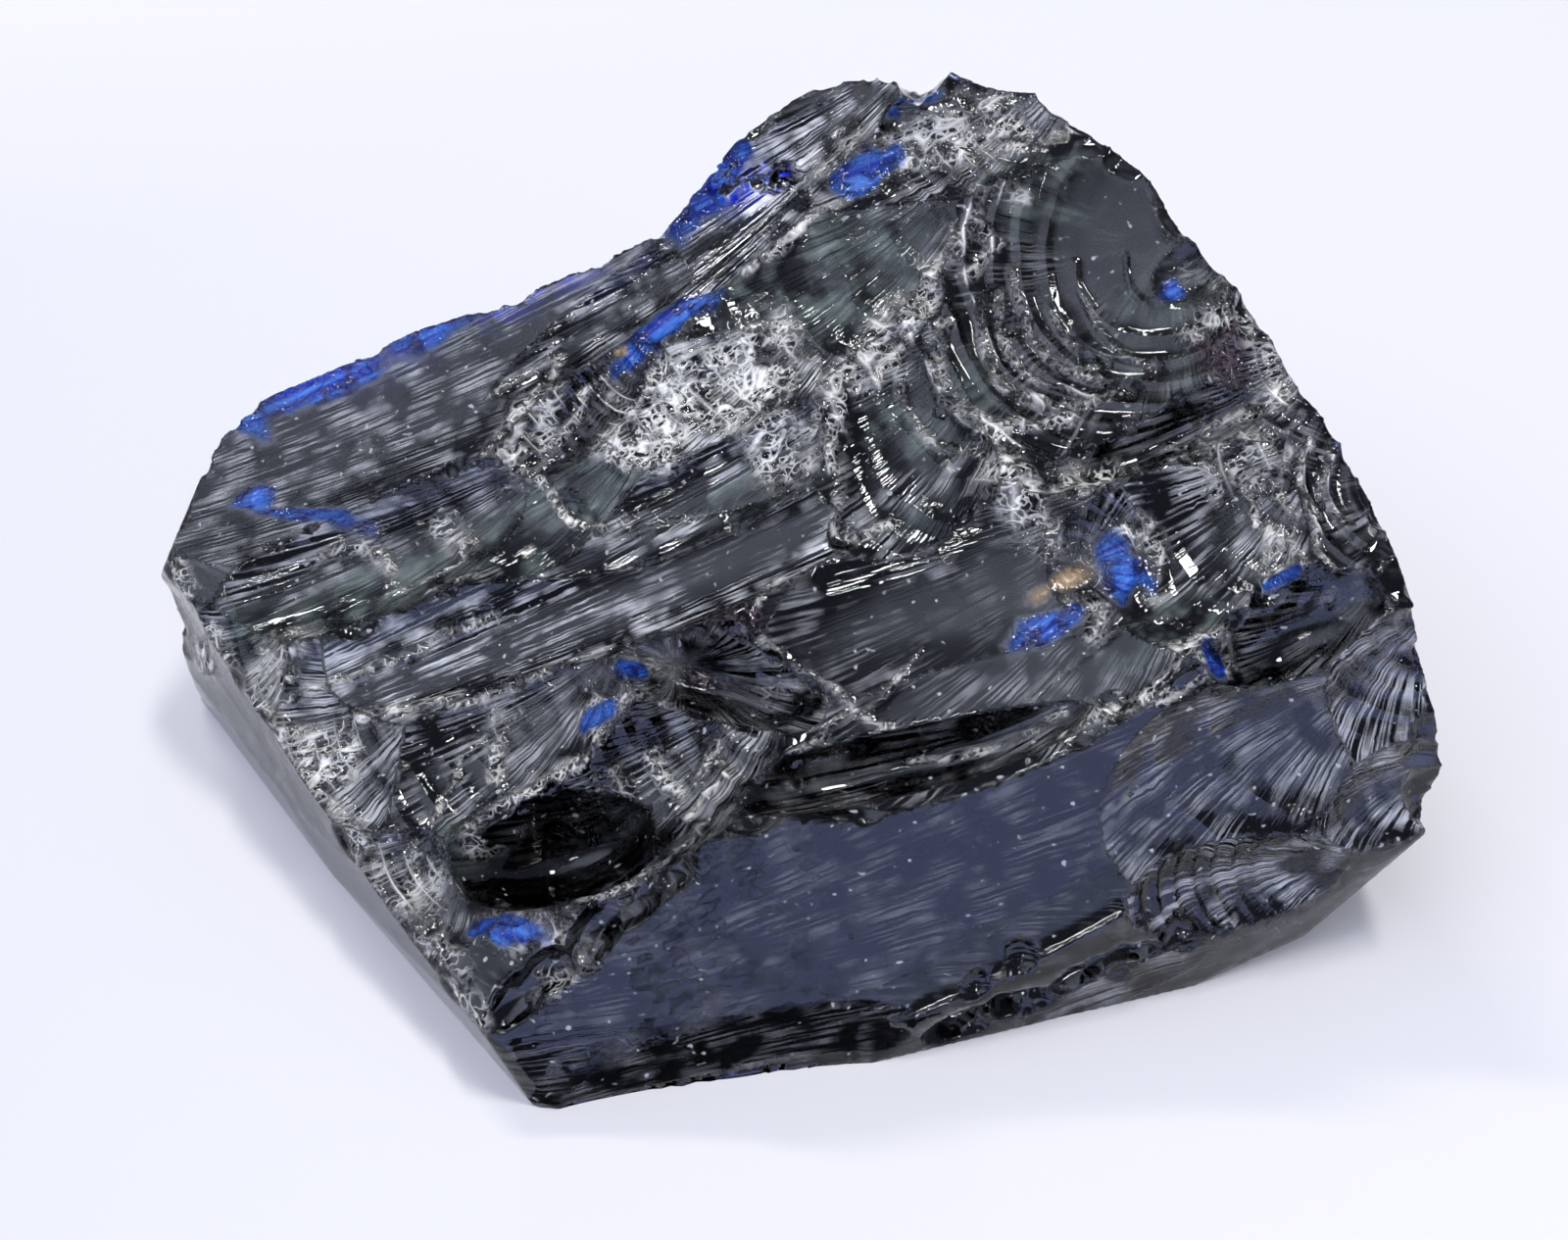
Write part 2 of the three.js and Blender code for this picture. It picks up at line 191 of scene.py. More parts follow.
SCARS = {
    "top": [
        # the right bowl and the ledges around it
        Scar((40, 32), (56, 48, 8), 70, -5, (54, 37), (3.7, 0.22), (5, 0.03), 0.4),
        Scar((51, 10), (46, 10, 7.5), 14, 4, (78, 18), (6, 0.1), (2.5, 0.06)),
        Scar((54, 32), (18, 15, 7), 0, 0, (64, 34), (2.2, 0.14), (3, 0.03)),
        Scar((66, 14), (26, 20, 5), 40, 0, (78, 20), (3.6, 0.26), (3, 0.1)),
        Scar((22, 55), (70, 20, 5), 6, 3, (46, 66), (2.8, 0.3), (2.6, 0.08)),
        Scar((30, 62), (30, 15, 4), 10, 0, (40, 68), (2.8, 0.26), (3, 0.05)),
        Scar((7, 66), (36, 20, 4), 28, 0, (24, 76), (9, 0.08), (3, 0.03), 0.4),
        # the striped slab that runs up the back left, and the broad pale hollow beside it
        Scar((-8, 51), (80, 19, 5), 40, 3, (34, 78), (9, 0.1), (1.8, 0.18)),
        Scar((-24, 42), (62, 15, 5.5), 24, -4, (12, 56), (8, 0.08), (2.2, 0.1)),
        Scar((6, 37), (50, 32, 4.5), 24, 4, (34, 54), (8, 0.16), (6, 0.06)),
        Scar((17, 18), (50, 30, 6.5), 76, -4, (44, 34), (7, 0.16), (5, 0.08)),
        Scar((-10, 26), (56, 20, 4), 26, 3, (20, 44), (5, 0.1), (1.9, 0.16)),
        # the left shoulder: long flat hollows that all run up to the right
        Scar((-62, 33), (100, 36, 4.5), 22, 2, (-190, 2), (12, 0.05), (1.4, 0.07), 0.3),
        Scar((-30, 27), (34, 15, 5.5), 40, -6, (-16, 38), (2.4, 0.36), (3, 0.03)),
        Scar((-60, 11), (62, 20, 6), 14, 5, (-24, 24), (7, 0.14), (3, 0.08)),
        Scar((-33, 14), (36, 24, 5), 8, -5, (-12, 26), (6, 0.14), (3.5, 0.08)),
        Scar((-8, 13), (64, 18, 5), 18, -4, (34, 30), (9, 0.1), (2.6, 0.1)),
        Scar((-40, -3), (120, 19, 5), 12, 2, (-230, -52), (9, 0.04), (1.5, 0.13), 0.3),
        Scar((-80, -3), (30, 20, 4), -50, 0, (-66, 4), (3, 0.16), (2.4, 0.12)),
        # the lower left slope and its caves
        Scar((-64, -14), (38, 24, 4.5), -48, 0, (-46, -8), (3.4, 0.2), (1.8, 0.1), 0.7),
        Scar((-42, -17), (46, 24, 6), 24, 4, (-22, -6), (4.4, 0.2), (2, 0.07), 0.7),
        Scar((-17, -24), (50, 22, 7), 26, -4, (4, -12), (4, 0.2), (2, 0.08), 0.8),
        Scar((-8, -13), (34, 13, 10), -26, 6, (-16, -8), (5, 0.12), (3, 0.08)),
        Scar((-31, -30), (32, 17, 15), 12, 0, (-16, -24), (5, 0.03), (3, 0.01), 0.2),
        Scar((-37.5, -29.5), (24, 15, 10), 20, 0, (-16, -24), (6, 0.02), (3, 0.01), 0.1),
        Scar((-50, -33), (26, 18, 5), -36, 0, (-42, -26), (3, 0.2), (2.4, 0.12)),
        # the dark plain behind the front ridge
        Scar((27, -8), (66, 34, 5.5), 8, -3, (64, 6), (11, 0.12), (5, 0.05), 0.5),
        Scar((-9, 6), (44, 20, 1.8), 12, 0, (-120, -30), (20, 0.03), (3, 0.03), 0.15),
        Scar((24, -19), (56, 30, 5.5), 8, 0, (64, 6), (11, 0.1), (5, 0.05), 0.3),
        Scar((18, -25), (54, 12, 10), 7, 0, (44, -20), (8, 0.05), (3, 0.03), 0.2),
        Scar((41, -5), (27, 19, 6), 20, 0, (38, -4), (2.2, 0.26), (3, 0.08)),
        Scar((58, -3), (42, 28, 6), 34, -4, (76, 8), (6, 0.2), (4, 0.08)),
        Scar((66, -17.5), (28, 15, 10), 20, 0, (78, -12), (7, 0.06), (4, 0.03), 0.2),
        Scar((73, 0), (34, 22, 5), 84, 4, (86, 0), (3.4, 0.26), (4, 0.05), 0.7),
    ],
    "front": [
        # the smooth front break and the chipped corner to its right
        Scar((11, 31), (124, 40, 1.5), 20, 0, (-100, -5), (24, 0.03), (2.2, 0.02), 0.1),
        Scar((-8, 2.5), (42, 23, 0.8), 13, 0, (-100, -5), (24, 0.02), (1.5, 0.03), 0.1),
        Scar((58, 37), (44, 30, 4), 24, 3, (80, 50), (8, 0.14), (4, 0.06)),
        Scar((64, 19), (34, 18, 4), -10, 0, (80, 22), (3, 0.24), (3, 0.1)),
        Scar((80, 46), (26, 22, 5), 70, 0, (86, 56), (3.4, 0.2), (3, 0.1)),
        Scar((84, 30), (22, 20, 4), 30, 0, (92, 34), (3, 0.2), (3, 0.1)),
        Scar((52, 2), (60, 18, 3), 13, 0, (84, 12), (8, 0.12), (4, 0.06)),
    ],
    "left": [
        # the steep left break
        Scar((-14, 12), (120, 60, 1.5), 0, 0, (60, 30), (14, 0.08), (6, 0.04), 0.3),
        Scar((14, 22), (34, 22, 2.5), 30, 0, (26, 34), (5, 0.12), (4, 0.04)),
    ],
    "right": [
        # the right end
        Scar((18, 36), (66, 50, 8), 36, 0, (44, 60), (7, 0.35), (5, 0.08)),
        Scar((6, 12), (60, 34, 5), -10, 0, (-20, 24), (6, 0.25), (5, 0.08)),
        Scar((44, 52), (46, 36, 6), 60, 0, (30, 74), (5, 0.3), (4, 0.08)),
        Scar((50, 16), (70, 40, 7), 20, 0, (80, 6), (7, 0.3), (5, 0.08)),
        Scar((-6, 36), (40, 26, 5), 70, 0, (-14, 56), (5, 0.25), (4, 0.08)),
    ],
    "back_left": [
        # the back, which undercuts the rim to thin edges
        Scar((-59.5, 36), (46, 26, 4.5), -25, 0, (-60, 50), (5, 0.2), (4, 0.08)),
        Scar((-66, 16), (58, 30, 6), -14, 0, (-60, 34), (5, 0.25), (4, 0.08)),
        Scar((-84, 12), (40, 30, 5), 30, 0, (-90, 28), (5, 0.25), (4, 0.08)),
        Scar((-37, 40), (24, 40, 3), 0, 0, (-38, 66), (4, 0.2), (4, 0.08)),
        Scar((-27, 46), (24, 40, 4), 0, 0, (-26, 74), (4, 0.2), (4, 0.08)),
        Scar((-3, 61), (26, 20, 3), -35, 0, (-6, 76), (4, 0.15), (4, 0.08)),
    ],
    "back": [
        Scar((-4, 54), (50, 40, 10), 40, 0, (-16, 76), (6, 0.3), (5, 0.08)),
        Scar((36, 40), (70, 60, 9), 70, 0, (36, 84), (7, 0.4), (5, 0.08)),
        Scar((-10, 20), (90, 40, 11), -10, 0, (-50, 30), (7, 0.35), (5, 0.08)),
        Scar((44, 14), (60, 40, 12), 14, 0, (70, 2), (6, 0.3), (5, 0.08)),
        Scar((12, 58), (26, 40, 5), -20, 0, (8, 80), (5, 0.2), (4, 0.08)),
        Scar((21, 93), (11, 22, 16), 0, 0, (21, 100), (4, 0.1), (4, 0.05)),
    ],
}


@dataclass
class Seam:
    """A line of crumbs or a crest: the points it runs through, seen from above, its width and its rise.

    crush is how far its glass is crumbled, from 0 to 1.
    """

    points: tuple
    width: float
    rise: float = 0.3
    crush: float = 0.8


SEAMS = [
    # crumbs along the edge of the front break, and along the ledge and the smooth dome behind it
    Seam(((37, -23), (41, -22), (45, -23), (51, -21), (58, -17)), 2.6, 0.2, 0.9),
    Seam(((8, -16), (13, -19), (21, -20), (26, -20.5), (33, -20), (37, -20)), 1.3, 0.2, 0.8),
    Seam(((0, 1), (-3, -2), (-4, -5), (-2, -8), (1, -11), (6, -13), (9, -16)), 1.4, 0.2, 0.7),
    Seam(((-21, -7), (-17, -5), (-11, -6), (-5, -7), (-2, -9)), 3, 0.3, 0.7),
    Seam(((-27, -12), (-25, -18), (-24, -20), (-22, -21)), 3.2, 0.3, 0.8),
    Seam(((-27, -11), (-22, -14), (-17, -14)), 3.2, 0.3, 0.9),
    # pale ribs down in the caves
    Seam(((-19, -16), (-17, -19), (-14, -22)), 2.4, 0.5, 0.9),
    Seam(((8, -17), (5, -20), (1, -23)), 1.6, 0.6, 0.9),
    Seam(((6, -21), (0, -24)), 1.4, 0.5, 0.8),
    Seam(((-7, -21), (-11, -24), (-13, -26)), 1.4, 0.5, 0.9),
    Seam(((-9, -17), (-12, -20)), 1.4, 0.5, 0.9),
    Seam(((-43, -25.5), (-38, -22), (-31, -19.5), (-24, -18.5)), 3.2, 0.5, 1.0),
    Seam(((-40, -32), (-36, -35), (-25, -39), (-17, -35), (-11, -29)), 2.6, 0.3, 0.6),
    Seam(((-37, -9), (-44, -13), (-46, -16), (-48, -23)), 1.0, 0.25, 0.8),
    Seam(((-40, -10), (-40, -17)), 3, 0.3, 0.9),
    # crumbs along the left edge, and the bright stripes that start there: raised crests whose white crumbs
    # are partly a painted highlight
    Seam(((-91, 15), (-82, 3), (-72, -9), (-66, -16), (-56, -29), (-49, -35), (-40, -49)), 3.4, 0.2, 0.9),
    Seam(((-71, -5), (-61, -3), (-51, 0), (-41, 3)), 1.5, 0.35, 0.8),
    Seam(((-71, -9), (-59, -8), (-46, -8)), 2.4, 0.35, 0.8),
    Seam(((-70, -11), (-62, -12)), 3, 0.3, 0.9),
    Seam(((-46, -9), (-35, -6), (-24, -4)), 1.2, 0.3, 0.6),
    # the feather-shaped hollow
    Seam(((-44, 22), (-41, 26), (-38, 31), (-34, 38)), 1.6, 0.4, 0.9),
    Seam(((-29, 33), (-31, 29), (-35, 26), (-43, 22)), 1.6, 0.3, 0.9),
    Seam(((-27, 34), (-23, 28)), 2.6, 0.4, 0.8),
    Seam(((-44, 34), (-34, 40)), 1.4, 0.3, 0.6),
    # stripes and crumbs on the left shoulder
    Seam(((-69, 15), (-64, 16), (-60, 17)), 1.4, 0.3, 0.8),
    Seam(((-61, 16), (-58, 13)), 3, 0.4, 0.8),
    Seam(((-50, 18), (-46, 14)), 3.6, 0.4, 0.9),
    Seam(((-36, 21), (-33, 18), (-31, 15), (-26, 12), (-24, 11)), 1.5, 0.5, 1.0),
    Seam(((-41, 21), (-36, 23)), 2, 0.3, 0.8),
    Seam(((-58, 8.5), (-46, 12)), 0.9, 0.4, 0.7),
    Seam(((-51, 6), (-44, 7)), 1.8, 0.3, 0.8),
    Seam(((-48, 1), (-42, 3)), 1.0, 0.3, 0.7),
    Seam(((-25, 11), (-17, 13), (0, 13), (5, 13)), 1.6, -0.4, 0.2),
    # the long crushed seam up the middle
    Seam(((7, 14), (6, 18), (8, 24), (11, 29), (18, 36), (23, 40), (28, 47)), 2.2, 0.5, 1.0),
    Seam(((4, 20), (8, 26), (14, 31), (20, 38), (25, 44)), 2.0, 0.4, 0.9),
    Seam(((13, 27), (18, 32), (22, 38)), 2.4, 0.4, 0.9),
    Seam(((8, 15), (7, 6)), 1.6, 0.5, 0.8),
    Seam(((6, 7), (9, 5), (12, 6), (15, 8)), 2.2, 0.4, 1.0),
    Seam(((29, 16), (31, 10), (32, 5), (36, 1)), 4.4, 0.4, 1.0),
    # the crests of the rings in the right bowl
    Seam(((23, 33), (22, 29), (22, 25), (25, 21), (29, 18), (34, 17.5), (40, 18)), 2.4, 1.0, 0.8),
    Seam(((28, 37), (28.5, 31), (30, 26), (34, 22), (40, 20), (46, 21)), 2.2, 1.0, 0.75),
    Seam(((31, 38), (31, 33), (33, 28), (37, 24), (43, 22)), 1.5, 0.7, 0.7),
    Seam(((33, 41), (34, 36), (36, 31), (39, 27), (44, 24)), 1.6, 0.8, 0.6),
    Seam(((38, 36), (40, 32), (42, 29), (46, 26)), 1.5, 0.6, 0.5),
    Seam(((42, 41), (43, 36), (45, 31), (49, 25), (52, 23)), 1.5, 0.5, 0.4),
    Seam(((49, 40), (49, 36), (51, 33)), 1.4, 0.4, 0.1),
    Seam(((16, 30), (17, 24), (21, 18), (27, 14)), 1.4, 0.4, 0.6),
    # round the blue and tan patch
    Seam(((42, 2), (48, 1), (51, -2), (49, -8)), 3, 0.4, 0.9),
    Seam(((39, -7), (43, -8), (41, -12)), 3, 0.3, 0.7),
    # fine lines on the dark plain
    Seam(((12, -16), (16, -13), (19, -9)), 0.7, 0.3, 0.8),
    Seam(((32, -18), (40, -14), (51, -11)), 1.2, 0.3, 0.2),
    Seam(((43, -20), (44, -21.5), (43, -23)), 0.8, 0.4, 0.8),
    Seam(((51, -17), (57, -15)), 3.4, 0.4, 0.9),
    # the right shoulder
    Seam(((68, 8), (66, 5), (66, 2), (68, -1)), 1.4, 0.5, 0.7),
    Seam(((71, 8), (69, 5), (69, 2), (71, -1)), 1.4, 0.5, 0.7),
    Seam(((74, 7), (72, 4), (72, 1), (74, -2)), 1.4, 0.4, 0.6),
    Seam(((67, -2), (67, -6), (69, -10)), 1.4, 0.6, 0.7),
    Seam(((70, -2), (70, -6), (72, -10)), 1.4, 0.6, 0.7),
    Seam(((65, -2), (65, -6), (65, -10)), 3.5, 0.3, 0.9),
    Seam(((63, 7), (63, 3), (63, 0)), 1.0, 0.4, 0.8),
    Seam(((54, 10), (57, 8), (59, 5)), 3.6, 0.4, 0.8),
    Seam(((53, 14), (57, 12), (61, 9)), 0.9, 0.4, 0.8),
    Seam(((59, 17), (57, 13)), 0.9, 0.4, 0.8),
    Seam(((59, 17), (63, 15), (67, 16)), 4, 0.3, 0.9),
    Seam(((52, 46), (57, 38), (62, 28), (67, 19)), 3.4, 0.2, 0.7),
    # the top right corner
    Seam(((29, 61), (36, 59)), 2.4, 0.3, 0.6),
    Seam(((22, 59), (28, 57), (35, 57)), 3.0, 0.3, 0.9),
    Seam(((27, 50), (35, 49)), 2.4, 0.3, 0.8),
    Seam(((27, 47), (30, 44)), 2.4, 0.3, 0.8),
    Seam(((26, 39), (31, 44)), 1.6, 0.4, 0.9),
    Seam(((-6, 44), (0, 47), (6, 51), (10, 53)), 1.8, 0.3, 0.8),
]


@dataclass
class Patch:
    """A patch of the surface, seen from above: its middle, length and width, turn and strength."""

    at: tuple
    size: tuple
    turn: float = 0.0
    strength: float = 1.0


MARKINGS = ("ring", "rib", "turns", "crest", "fan", "live")  # what the surface carries beside its patches
PATCHES = {
    # crushed glass, which the gem paints white: partly frost, partly a painted highlight on its crests
    "crush": [
        Patch((-10, 28), (34, 15), 22),
        Patch((-1, 18), (14, 9), -50, 0.9),
        Patch((12, 30), (20, 7), 50, 0.7),
        Patch((-37, 28), (13, 7), 50, 0.75),
        Patch((31, 9), (9, 14), 10, 0.8),
        Patch((41, 9), (12, 8), 0, 0.8),
        Patch((60, 24), (10, 16), 30, 0.6),
        Patch((60, 9), (16, 12), 0, 0.5),
        Patch((-72, 1), (8, 12), -40, 0.6),
        Patch((-66, -12), (12, 8), 0, 0.9),
        Patch((-34, -40), (22, 10), -30, 0.5),
        Patch((-49, -31), (14, 8), -40, 0.6),
        Patch((24, 60), (26, 9), 8, 0.7),
        Patch((10, 61), (14, 5), 30, 0.5),
    ],
    "haze": [
        Patch((5, 40), (34, 18), 24),
        Patch((16, 20), (16, 16), 0, 0.6),
        Patch((-33, 15), (26, 12), 18),
        Patch((-54, 12), (34, 9), 14),
        Patch((-70, 6), (30, 8), 10, 0.7),
        Patch((-6, 14), (26, 8), 10, 0.6),
        Patch((20, 6), (14, 8), -20, 0.8),
        Patch((52, -12), (22, 8), 12, 0.8),
        Patch((27, 24), (12, 18), 0, 0.5),
        Patch((36, 50), (24, 10), 0, 0.6),
        Patch((54, 30), (20, 26), 0, 0.4),
        Patch((-46, -27), (8, 6), 0, 0.5),
    ],
    # painted blue glow: along the thin back rims, where light would show through, and at shattered spots,
    # where it would shine back off cracks inside
    "blue": [
        Patch((-17, 38), (15, 7), 24),
        Patch((-72, 39.5), (28, 7), 22, 1.0),
        Patch((-55, 45.5), (22, 6), 16, 0.8),
        Patch((-14, 57), (18, 8), 40, 0.8),
        Patch((-79, 24), (6, 3), 0),
        Patch((-70, 20), (22, 2.6), -14, 0.5),
        Patch((12, 57), (10, 6), 30, 0.8),
        Patch((19, 64), (10, 3), 20, 0.5),
        Patch((46, -4), (8, 10), 0),
        Patch((36, -9.5), (11, 5), 12),
        Patch((55, 34), (5, 5), 0),
        Patch((-21, -8), (5, 3), 30, 0.8),
        Patch((-26, -13), (5, 4), 0, 0.6),
        Patch((-38, -39.5), (12, 3.6), -25, 0.8),
        Patch((56, -18), (5, 4), 0, 0.5),
        Patch((66, -9), (4, 3), 0, 0.5),
    ],
    "tan": [
        Patch((39, -3), (6.5, 4), 10),
        Patch((34.5, -5), (3.5, 2.4), 20, 0.7),
        Patch((-24, 36), (1.6, 1.2), 0, 0.7),
    ],
    "mauve": [
        Patch((-9, -5.5), (13, 5), 0, 0.7),
        Patch((60, 20), (12, 7), -40, 0.5),
    ],
    "calm": [  # without ripples
        Patch((-32, -31), (34, 15), 12),
        Patch((-9, -9), (24, 7), -26, 0.9),
        Patch((52, 43), (26, 32), 20, 0.85),
        Patch((-8, 7), (42, 13), 12, 0.8),
        Patch((24, -8), (46, 20), 8, 0.7),
    ],
}


def unit(vector):
    vector = np.asarray(vector, float)
    return vector / np.linalg.norm(vector)


def units(rows):
    return rows / np.linalg.norm(rows, axis=1)[:, None]


def lumps(points, name):
    """One of the smooth noises at each of the points, between minus its strength and its strength."""
    size, seed, strength = NOISES[name]
    cell = points / size + seed * SEED_STEP
    base = np.floor(cell).astype(np.int64)
    part = cell - base
    part = part * part * (3 - 2 * part)
    total = np.zeros(len(points))
    # each corner of a point's cell has its own value from -1 to 1, scrambled from the corner's three numbers
    for corner in np.ndindex(2, 2, 2):
        spot = base + np.array(corner)
        code = spot[:, 0] * SCATTER[0] ^ spot[:, 1] * SCATTER[1] ^ spot[:, 2] * SCATTER[2]
        code = (code ^ (code >> 13)) * STIR & 0x7FFFFFFF
        value = ((code ^ (code >> 15)) & 0xFFFF) / 32767.5 - 1
        total += value * np.prod(np.where(corner, part, 1 - part), axis=1)
    return strength * total


def read_points(mesh):
    flat = np.empty(len(mesh.vertices) * 3, np.float32)
    mesh.vertices.foreach_get("co", flat)
    return flat.reshape(-1, 3)


def write_points(mesh, points):
    mesh.vertices.foreach_set("co", points.astype(np.float32).ravel())
    mesh.update()


class Surface:
    """The block's surface as points, in millimetres on the drawing's axes, and the markings of each.

    ring and rib are a point's distance from its scar's strike and its place across the scar's fan.
    """

    def __init__(self, mesh):
        self.mesh = mesh
        self.points = read_points(mesh).astype(float) / MM + MIDDLE
        count = len(self.points)
        pairs = np.empty(len(mesh.edges) * 2, np.int32)
        mesh.edges.foreach_get("vertices", pairs)
        self.edges = pairs.reshape(-1, 2)
        self.ring = self.points[:, 0].copy()
        self.rib = self.points[:, 2].copy()
        self.ring_wave = np.tile(BARE_RING, (count, 1))
        self.rib_wave = np.tile(BARE_RIB, (count, 1))
        self.live = np.full(count, BARE_LIVE)
        self.marks = {kind: np.zeros(count) for kind in PATCHES}

    def write(self):
        write_points(self.mesh, (self.points - MIDDLE) * MM)

    def normals(self, rounds):
        """The normals, smoothed over each point's neighbours again and again."""
        self.write()
        flat = np.empty(len(self.points) * 3, np.float32)
        self.mesh.vertex_normals.foreach_get("vector", flat)
        return units(self.spread(flat.reshape(-1, 3), rounds))

    def spread(self, values, rounds):
        """values averaged over each point's neighbours, again and again."""
        first, second = self.edges.T
        count = len(self.points)
        share = np.bincount(first, minlength=count) + np.bincount(second, minlength=count)
        columns = values.reshape(count, -1).astype(float)
        for _ in range(rounds):
            for k in range(columns.shape[1]):
                column = columns[:, k]
                total = np.bincount(first, column[second], count) + np.bincount(second, column[first], count)
                columns[:, k] = 0.5 * column + 0.5 * total / np.maximum(share, 1)
        return columns.reshape(values.shape)

    def carve(self, centre, axes, radii, normal, strike, ring, rib, live):
        """Pushes what lies inside an ellipsoid in, against "normal", until it meets the far side."""
        near = np.all(np.abs(self.points - centre) < radii.max(), axis=1)
        chosen = np.nonzero(near)[0]
        local = (self.points[chosen] - centre) @ axes.T / radii
        inside = np.einsum("ij,ij->i", local, local) < 1
        chosen, local = chosen[inside], local[inside]
        # the depth at which a point reaches the ellipsoid is the larger root of a d² + 2 b d + c = 0
        way = -(axes @ normal) / radii
        a = way @ way
        b = local @ way
        c = np.einsum("ij,ij->i", local, local) - 1
        depth = (-b + np.sqrt(b * b - a * c)) / a
        self.points[chosen] -= depth[:, None] * normal
        chosen = chosen[(np.hypot(local[:, 0], local[:, 1]) < MARKED_SHARE) | (depth > GRAZE)]
        from_strike = (self.points[chosen] - strike) @ axes.T
        towards = axes @ (centre - strike)
        angle = np.arctan2(from_strike[:, 1], from_strike[:, 0]) - math.atan2(towards[1], towards[0])
        angle = (angle + math.pi) % math.tau - math.pi
        self.ring[chosen] = np.hypot(from_strike[:, 0], from_strike[:, 1])
        self.rib[chosen] = angle * max(np.linalg.norm(centre - strike), radii.max() / 2)
        self.ring_wave[chosen] = ring
        self.rib_wave[chosen] = rib
        self.live[chosen] = live


def turned(axes, turn, tip):
    """The scar's own axes, as rows: turned about its normal, then tipped about its width."""
    spin = Euler((0, 0, math.radians(turn))).to_matrix()
    lean = Euler((0, math.radians(tip), 0)).to_matrix()
    return np.array(axes @ np.array(spin @ lean)).T


def carve_scar(surface, side, scar):
    plane, facing, right = SIDES[side]
    normal, right = unit(facing), unit(right)
    across = np.cross(normal, right)
    long, wide, deep = scar.size
    thickness = deep / (1 - math.sqrt(1 - RIM_SHARE**2))
    radii = np.array([long / 2 / RIM_SHARE, wide / 2 / RIM_SHARE, thickness])
    axes = turned(np.column_stack([right, across, normal]), scar.turn, scar.tip)
    centre = np.array(plane(*scar.at)) + normal * (thickness - deep)
    strike = np.array(plane(*scar.strike))
    surface.carve(centre, axes, radii, normal, strike, scar.ring, scar.rib, scar.live)


def lay_patches(surface):
    """Marks the crushed, hazy and coloured patches, with ragged edges."""
    level = surface.normals(BROAD)[:, 2]
    upper = np.nonzero((level > UPWARD) & (surface.points[:, 2] > PATCH_FLOOR))[0]
    spots = surface.points[upper, :2]
    ragged = lumps(surface.points[upper], "patch_edge") + lumps(surface.points[upper], "fine_patch_edge")
    for kind, patches in PATCHES.items():
        mark = surface.marks[kind]
        for patch in patches:
            angle = math.radians(patch.turn)
            along = (spots - patch.at) @ (math.cos(angle), math.sin(angle)) / (patch.size[0] / 2)
            across = (spots - patch.at) @ (-math.sin(angle), math.cos(angle)) / (patch.size[1] / 2)
            amount = (PATCH_REACH - np.hypot(along, across) + ragged) * PATCH_EDGE
            amount = np.clip(amount, 0, 1) * patch.strength
            if kind != "calm":
                amount[level[upper] < STEEP] = 0
            mark[upper] = np.maximum(mark[upper], amount)


def rounded(points):
    """The same line with its corners cut twice, so that it bends smoothly."""
    points = np.array(points, float)
    for _ in range(2 if len(points) > 2 else 0):
        first, second = points[:-1], points[1:]
        inner = np.stack([0.75 * first + 0.25 * second, 0.25 * first + 0.75 * second], 1).reshape(-1, 2)
        points = np.vstack([points[:1], inner[1:-1], points[-1:]])
    return points


def away_from_line(spots, points):
    """How far each spot lies from the line through the points, seen from above."""
    nearest = np.full(len(spots), np.inf)
    for start, end in zip(points, points[1:]):
        span = end - start
        share = np.clip((spots - start) @ span / (span @ span), 0, 1)
        gap = np.linalg.norm(spots - start - share[:, None] * span, axis=1)
        nearest = np.minimum(nearest, gap)
    return nearest


def lay_seams(surface):
    """Raises each seam and marks its crumbs; both break up along the seam, as broken glass does."""
    normals = surface.normals(2)
    facing_back = units(surface.spread(normals, BROAD))[:, 1]
    upper = np.nonzero((normals[:, 2] > UPWARD) & (surface.points[:, 2] > SEAM_FLOOR))[0]
    spots = surface.points[upper, :2]
    wander = np.column_stack([lumps(surface.points[upper], f"seam_wander_{axis}") for axis in "xy"])
    broken = SEAM_WHOLE + lumps(surface.points[upper], "seam_break")
    uneven = np.clip(broken + 0.3, 0.3, 1.2)
    crumbly = np.clip(broken, 0.2, 1.2)
    push = np.zeros(len(upper))
    crush = surface.marks["crush"]
    for seam in SEAMS:
        strayed = spots + (SEAM_STRAY[0] + SEAM_STRAY[1] * seam.crush) * wander
        gap = away_from_line(strayed, rounded(seam.points)) / (seam.width / 2)
        crest = np.clip(1 - gap, 0, 1)
        slope = CREST_SLOPE + (1 - CREST_SLOPE) * crest
        push += seam.rise * crest * slope * (uneven if seam.crush > CRUMBLING else 1)
        near = np.clip(CRUMB_REACH - gap, 0, 1) * seam.crush * crumbly
        near[facing_back[upper] < FRONT_FACING] = 0
        crush[upper] = np.maximum(crush[upper], near)
    surface.points[upper] += normals[upper] * push[:, None]


def chip_ridges(surface, count, rng):
    """Knocks small shell-shaped chips out of the sharp ridges."""
    normals = surface.normals(3)
    smooth = surface.spread(surface.points, 6)
    sharp = np.einsum("ij,ij->i", surface.points - smooth, normals)
    sharp[surface.points[:, 2] < CHIP_FLOOR] = 0
    weight = np.clip(sharp - CHIP_SHARP, 0, CHIP_SHARPEST)
    chosen = rng.choice(len(weight), count, replace=False, p=weight / weight.sum())
    least, more, fewer = CHIP_SIZE
    for start in chosen:
        normal = unit(normals[start] + rng.normal(0, CHIP_LEAN, 3))
        right = unit(np.cross(normal, rng.normal(0, 1, 3)))
        across = np.cross(normal, right)
        size = least + more * rng.random() ** fewer
        radii = size * np.array(CHIP_SHAPE)
        centre = surface.points[start] + normal * radii[2] * CHIP_RISE
        strike = surface.points[start] + right * size
        surface.carve(centre, np.array([right, across, normal]), radii, normal, strike, *CHIP_MARKS)


